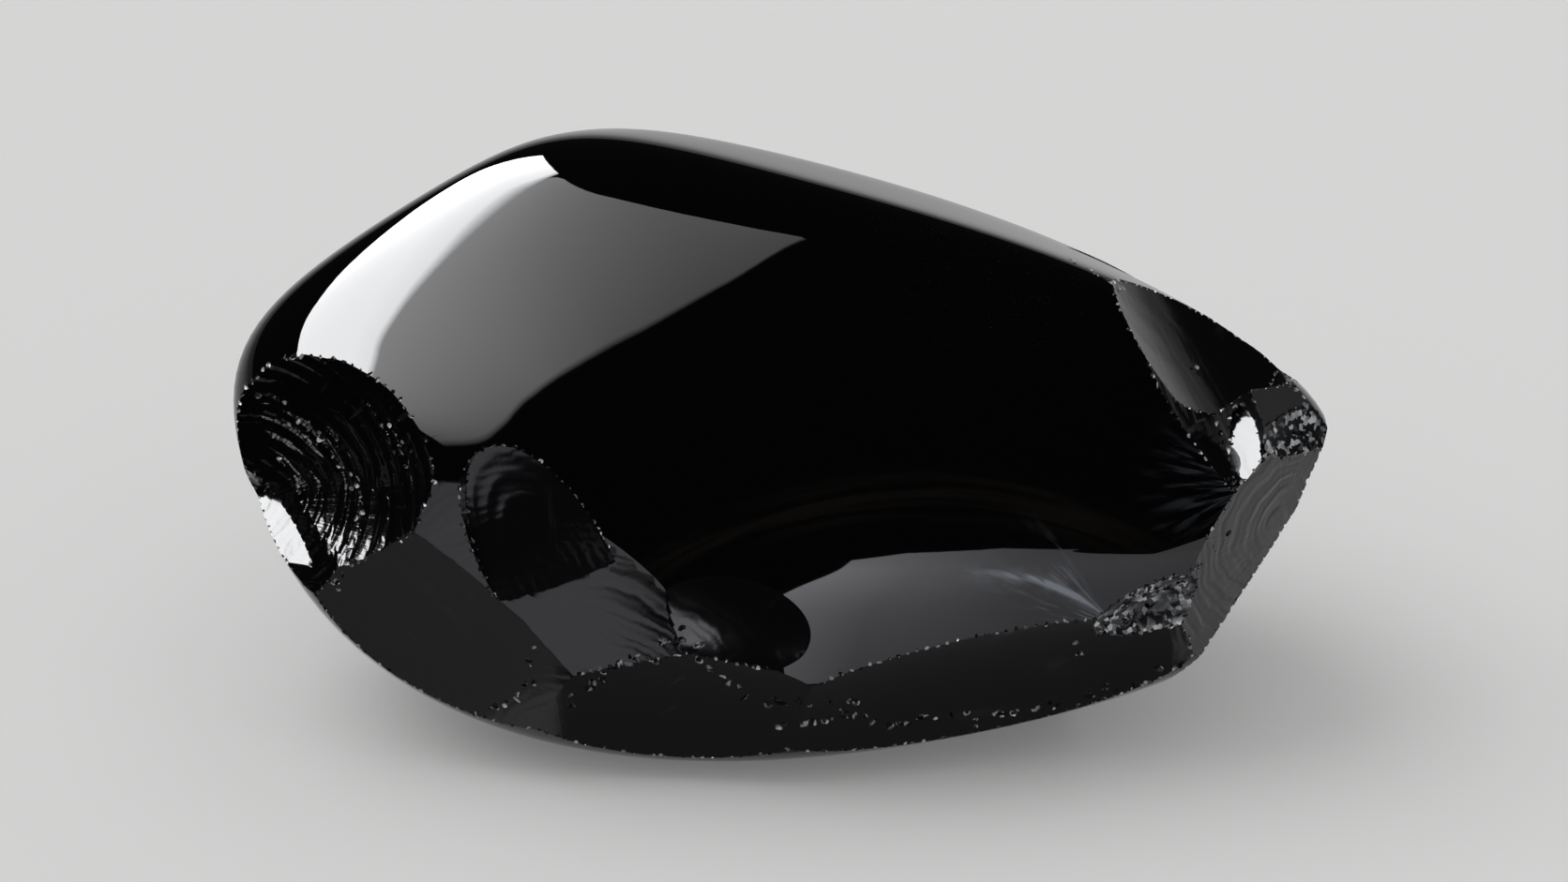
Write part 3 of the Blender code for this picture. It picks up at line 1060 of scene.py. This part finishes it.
SKY_PANELS = (
    Panel("hot_panel", 1.0, (
        HOT_OUTER,
        *(between(HOT_OUTER, HOT_INNER, share, glow)
          for share, glow in ((0.8, 20.0), (0.95, 18.5), (0.98, 11.0))),
        HOT_INNER,
    ), (0.98, 0.985, 1.0)),
    Panel("grey_panel", 1.002, (
        ((0.07, -0.49, 1.45), (0.0, -0.49, 1.7), (-0.11, -0.43, 2.1), (-0.19, -0.33, 2.65),
         (-0.27, -0.19, 3.4), (-0.33, 0.17, 4.4), (-0.45, -0.04, 5.1), (-0.55, -0.31, 5.2),
         (-0.69, -0.64, 5.4), (-0.93, -1.02, 5.4), (-1.1, -1.35, 5.2), (-1.35, -1.75, 5.0)),
        ((0.07, -0.5, 1.4), (-0.045, -0.86, 1.3), (-0.15, -1.05, 1.35), (-0.26, -1.23, 1.6),
         (-0.35, -1.35, 1.8), (-0.42, -1.46, 2.1), (-0.5, -1.58, 2.3), (-0.6, -1.75, 2.6),
         (-0.73, -1.97, 2.5), (-0.87, -2.27, 2.3), (-1.15, -2.75, 1.9), (-1.43, -2.85, 1.6)),
        ((0.075, -0.51, 0.0), (-0.05, -0.89, 0.0), (-0.155, -1.09, 0.0), (-0.27, -1.29, 0.0),
         (-0.36, -1.42, 0.0), (-0.435, -1.54, 0.0), (-0.52, -1.67, 0.0), (-0.625, -1.85, 0.0),
         (-0.765, -2.1, 0.0), (-0.91, -2.42, 0.0), (-1.2, -2.95, 0.0), (-1.46, -3.05, 0.0)),
    ), (0.98, 0.98, 1.0)),
    Panel("right_panel", 1.004, (
        ((1.15, -0.8, 0.42), (1.15, 0.6, 0.42)),
        ((2.8, -1.0, 0.36), (2.8, 0.9, 0.36)),
    ), (0.95, 0.96, 1.0)),
)

FLOOR_PANELS = (
    Panel("front_strip", 0.0004, (
        ((0.001, -0.048, 1.6), (0.0, -0.075, 2.0), (-0.004, -0.148, 2.8), (-0.001, -0.2, 3.0),
         (0.005, -0.275, 3.2), (0.04, -0.65, 3.2), (0.103, -1.45, 3.0), (0.12, -1.5, 2.6, 0.03),
         (0.12, -1.5, 2.6, 0.03)),
        ((0.008, -0.048, 0.9), (0.012, -0.075, 1.15), (0.02, -0.15, 1.6), (0.03, -0.2, 1.75),
         (0.045, -0.275, 1.9), (0.11, -0.65, 2.1), (0.2, -1.45, 2.2), (0.22, -1.5, 2.1, 0.052),
         (0.22, -1.5, 2.1, 0.055)),
        ((0.03, -0.045, 0.6), (0.04, -0.07, 0.75), (0.06, -0.15, 0.9), (0.08, -0.2, 1.0),
         (0.1, -0.27, 1.1), (0.2, -0.65, 1.15), (0.4, -1.45, 1.2), (0.4, -1.46, 1.2, 0.046),
         (0.4, -1.46, 1.2, 0.046)),
        ((0.062, -0.015, 0.45), (0.1, -0.05, 0.5), (0.14, -0.12, 0.8), (0.145, -0.2, 0.9),
         (0.16, -0.27, 0.9), (0.27, -0.65, 0.9), (0.4, -1.05, 0.9), (0.41, -1.06, 0.9, 0.003),
         (0.42, -1.06, 0.9, 0.003)),
    ), (0.98, 0.985, 1.05)),
    Panel("right_floor", 0.0004, (
        ((0.045, 0.05, 0.5), (0.06, 0.015, 0.8), (0.058, -0.01, 0.95), (0.042, -0.045, 0.75)),
        ((0.3, 0.1, 0.5), (0.4, 0.0, 0.7), (0.35, -0.1, 0.75), (0.1, -0.1, 0.7)),
        ((1.5, 0.5, 0.2), (2.0, -0.1, 0.2), (1.6, -0.8, 0.3), (0.15, -0.25, 0.8)),
    )),
    # Painted shade: a dim sheet that stands in for the floor in the chunk's contact shadow, as reflections
    # see it.
    Panel("low_front_floor", 0.0007, (
        ((-0.02, -0.024, 0.14), (-0.02, -0.047, 0.14)),
        ((0.04, -0.024, 0.14), (0.04, -0.047, 0.14)),
    )),
    # Painted shade: a dim sheet that stands in for the near floor in the chunk's shadow, as reflections see
    # it.
    Panel("left_near_floor", 0.0002, (
        ((-0.034, -0.03, 0.3), (-0.034, -0.066, 0.3)),
        ((-0.07, -0.01, 0.3), (-0.07, -0.066, 0.3)),
    )),
    Panel("left_floor", 0.0004, (
        ((-0.028, -0.063, 1.0), (-0.045, -0.17, 1.1), (-0.06, -0.26, 1.2)),
        ((-0.045, -0.063, 1.0), (-0.065, -0.17, 1.0), (-0.09, -0.26, 1.0)),
        ((-0.06, -0.062, 0.7), (-0.085, -0.17, 0.7), (-0.12, -0.26, 0.8)),
    ), (0.97, 0.98, 1.06)),
    Panel("left_far_floor", 0.0004, (
        ((-0.3, -0.3, 0.35), (-0.6, -0.8, 0.35)),
        ((-0.45, -0.15, 0.35), (-2.0, -0.6, 0.35)),
    )),
)


@dataclass
class Studio:
    """Pale floor, soft lights and the camera."""

    lie: Lie = field(default_factory=Lie)
    camera_reach: float = 0.4
    lens: float = 100.0
    floor_near: float = 0.062
    near_middle: float = 0.015
    floor_reach: float = 3.0
    wall_height: float = 2.4
    arc_points: int = 97
    mirrored_arc: tuple[float, float] = (-80.0, 115.0)
    paint_colour: tuple[float, float, float] = (0.7, 0.7, 0.695)
    room_colour: tuple[float, float, float] = (0.008, 0.008, 0.009)

    def build(self) -> None:
        """Set the whole studio up."""
        scene = bpy.context.scene
        scene.view_settings.view_transform = "Standard"
        world = bpy.data.worlds.new("dark_room")
        scene.world = world
        world.use_nodes = True
        world.node_tree.nodes["Background"].inputs["Color"].default_value = (*self.room_colour, 1.0)
        self.floor()
        self.lights()
        for panel in SKY_PANELS:
            panel.build(self.lie.matrix().translation)
        for panel in FLOOR_PANELS:
            panel.build(Vector())
        self.camera()

    def pale(self) -> bpy.types.Material:
        """Return the floor's pale matt paint.

        Returns:
            The material.
        """
        pale = bpy.data.materials.new("pale_floor")
        pale.use_nodes = True
        shader = pale.node_tree.nodes["Principled BSDF"]
        shader.inputs["Base Color"].default_value = (*self.paint_colour, 1.0)
        shader.inputs["Roughness"].default_value = 1.0
        shader.inputs["Specular IOR Level"].default_value = 0.0
        return pale

    def ring(self, name: str, levels: tuple[tuple[float, float, float], ...],
             arc: tuple[float, float] = (0.0, 360.0)) -> bpy.types.Object:
        """Return a ring, or an arc of one, round the chunk.

        Args:
            name: the ring's name.
            levels: its radius, height and glow at each level.
            arc: the azimuths from the back, clockwise, where it starts and ends.

        Returns:
            The ring.
        """
        turns = np.radians(np.linspace(*arc, self.arc_points))
        back = [self.near_middle if r == self.floor_near else 0.0 for r, _, _ in levels]
        rails = [[(r * math.sin(turn), r * math.cos(turn) + shift, z) for turn in turns]
                 for (r, z, _), shift in zip(levels, back)]
        points = [point for rail in rails for point in rail]
        mesh = bpy.data.meshes.new(name)
        mesh.from_pydata(points, [], grid_faces(len(levels), len(turns)))
        glow = mesh.attributes.new("glow", "FLOAT", "POINT")
        glow.data.foreach_set("value", [level[2] for level in levels for _ in turns])
        return new_object(name, mesh)

    def floor(self) -> None:
        """Lay the pale floor with the wall behind it, and what reflections see of them."""
        pale = self.pale()
        near, far, high = self.floor_near, self.floor_reach, self.wall_height
        under = self.ring("floor_under_chunk", ((0.001, 0, 0), (near, 0, 0)))
        Shows.EVERYTHING.limit(under)
        around = self.ring("floor_around", ((near, 0, 0), (far, 0, 0)))
        Shows.ALL_BUT_REFLECTIONS.limit(around)
        wall = self.ring("wall", ((far, 0, 0), (far, high, 0)))
        Shows.CAMERA.limit(wall)
        for piece in (under, around, wall):
            piece.data.materials.append(pale)
        mirrored = self.ring("mirrored_floor", (
            (near, 0, 0.5), (0.2, 0, 0.4), (0.6, 0, 0.25), (2.0, 0, 0.14), (2.0, 0.2, 0.12)),
            self.mirrored_arc)
        mirrored.data.materials.append(Painter.glow("mirrored_floor", (1.0, 1.0, 1.0)))
        Shows.REFLECTIONS.limit(mirrored)

    def lights(self) -> None:
        """Hang the soft suns, which no reflection shows."""
        for name, azimuth, elevation, spread, strength, shadow in (
            ("key", -75.0, 52.0, 60.0, 0.45, True),
            ("key_all_round", -75.0, 52.0, 60.0, 1.2, False),
            ("fill", 0.0, 88.0, 150.0, 0.3, True),
            ("fill_all_round", 0.0, 88.0, 150.0, 1.36, False),
        ):
            lamp = bpy.data.lights.new(name, "SUN")
            lamp.use_shadow = shadow
            lamp.angle = math.radians(spread)
            lamp.energy = strength
            light = bpy.data.objects.new(name, lamp)
            bpy.context.scene.collection.objects.link(light)
            turn, rise = math.radians(azimuth), math.radians(elevation)
            level = math.cos(rise)
            towards = Vector((math.sin(turn) * level, math.cos(turn) * level, math.sin(rise)))
            light.rotation_euler = towards.to_track_quat("Z", "Y").to_euler()
            light.visible_glossy = False

    def camera(self) -> None:
        """Stand the camera square on to the broad face."""
        lens = bpy.data.cameras.new("camera")
        lens.lens = self.lens
        lens.sensor_width = 36.0
        camera = bpy.data.objects.new("camera", lens)
        bpy.context.scene.collection.objects.link(camera)
        view = self.lie.matrix()
        view.translation += self.lie.face_normal() * self.camera_reach
        camera.matrix_world = view
        bpy.context.scene.camera = camera


def main() -> None:
    """Build the chunk and its studio, and report each piece."""
    logging.basicConfig(level=logging.INFO, format="%(name)s: %(message)s")
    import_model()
    chunk = Chunk().build()
    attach(chunk, "root")
    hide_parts(NODE)
    log.info("%s: %d faces, %d triangles", chunk.name, len(chunk.data.polygons),
             sum(len(face.vertices) - 2 for face in chunk.data.polygons))
    Studio().build()


if __name__ == "__main__":
    main()
